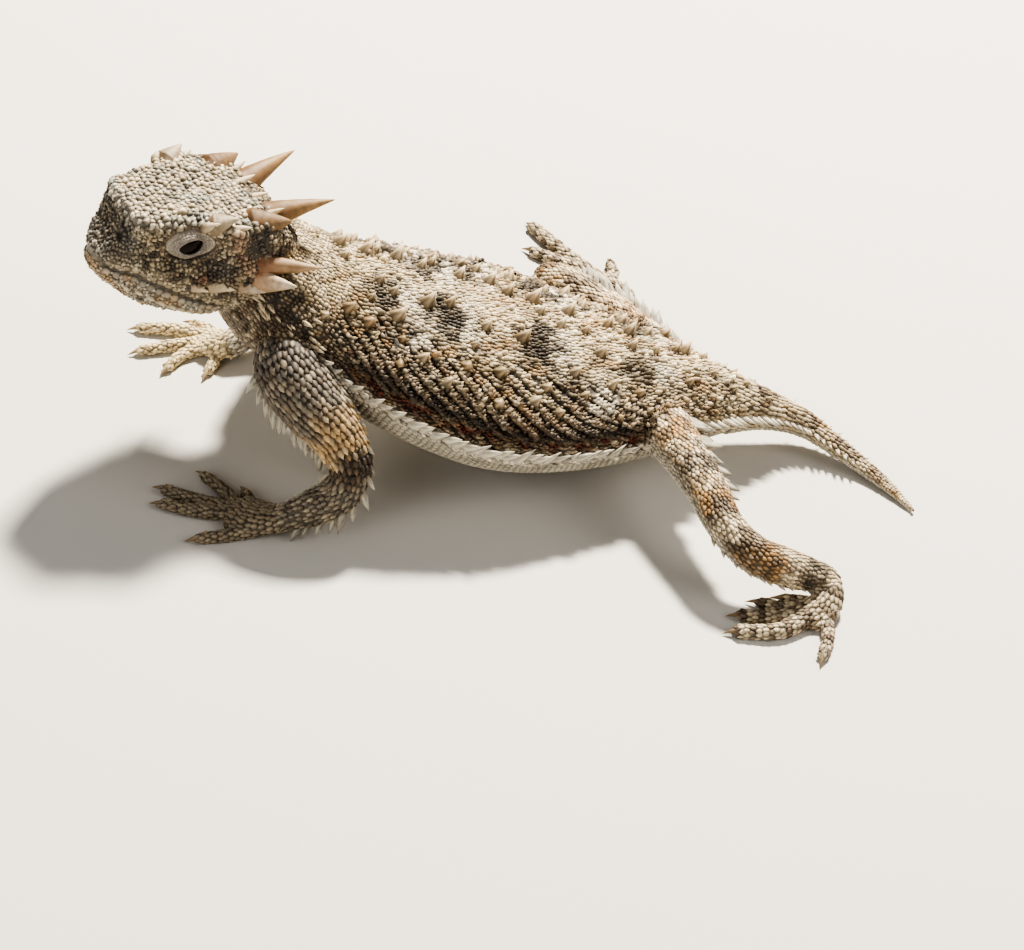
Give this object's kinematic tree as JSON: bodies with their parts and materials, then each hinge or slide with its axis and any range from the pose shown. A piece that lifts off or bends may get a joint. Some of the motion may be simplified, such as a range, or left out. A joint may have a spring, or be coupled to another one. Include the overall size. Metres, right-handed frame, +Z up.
{
  "type": "desert horned lizard display model",
  "caption": "Still life-size model of a horned lizard standing with raised forequarters and turned head, with horns, fringed flanks, splayed toes and a short tail.",
  "frame": {"origin": "on the floor under the middle of the bounding box", "axes": "+Z up, the head towards -X, the animal's left side towards -Y"},
  "size_m": [0.1016, 0.0868, 0.0357],
  "materials": {
    "skin": "matte, banded cream and brown",
    "horn": "satin",
    "claw": "satin",
    "eye": "gloss"
  },
  "bodies": {
    "root": {"head": "skin", "left_arm_claw_1": "claw", "left_arm_claw_2": "claw", "left_arm_claw_3": "claw", "left_arm_claw_4": "claw", "left_arm_claw_5": "claw", "left_brow_horn": "horn", "left_cheek_horn": "horn", "left_eye": "eye", "left_foot": "skin", "left_forearm": "skin", "left_hand": "skin", "left_leg_claw_1": "claw", "left_leg_claw_2": "claw", "left_leg_claw_3": "claw", "left_leg_claw_4": "claw", "left_leg_claw_5": "claw", "left_lower_temporal_horn": "horn", "left_occipital_horn": "horn", "left_shank": "skin", "left_short_horn": "horn", "left_thigh": "skin", "left_upper_arm": "skin", "left_upper_temporal_horn": "horn", "lower_jaw": "skin", "neck": "skin", "right_arm_claw_1": "claw", "right_arm_claw_2": "claw", "right_arm_claw_3": "claw", "right_arm_claw_4": "claw", "right_arm_claw_5": "claw", "right_brow_horn": "horn", "right_cheek_horn": "horn", "right_eye": "eye", "right_foot": "skin", "right_forearm": "skin", "right_hand": "skin", "right_leg_claw_1": "claw", "right_leg_claw_2": "claw", "right_leg_claw_3": "claw", "right_leg_claw_4": "claw", "right_leg_claw_5": "claw", "right_lower_temporal_horn": "horn", "right_occipital_horn": "horn", "right_shank": "skin", "right_short_horn": "horn", "right_thigh": "skin", "right_upper_arm": "skin", "right_upper_temporal_horn": "horn", "tail_middle": "skin", "tail_root": "skin", "tail_tip": "skin", "trunk_front": "skin", "trunk_middle": "skin", "trunk_rear": "skin"}
  },
  "joints": []
}
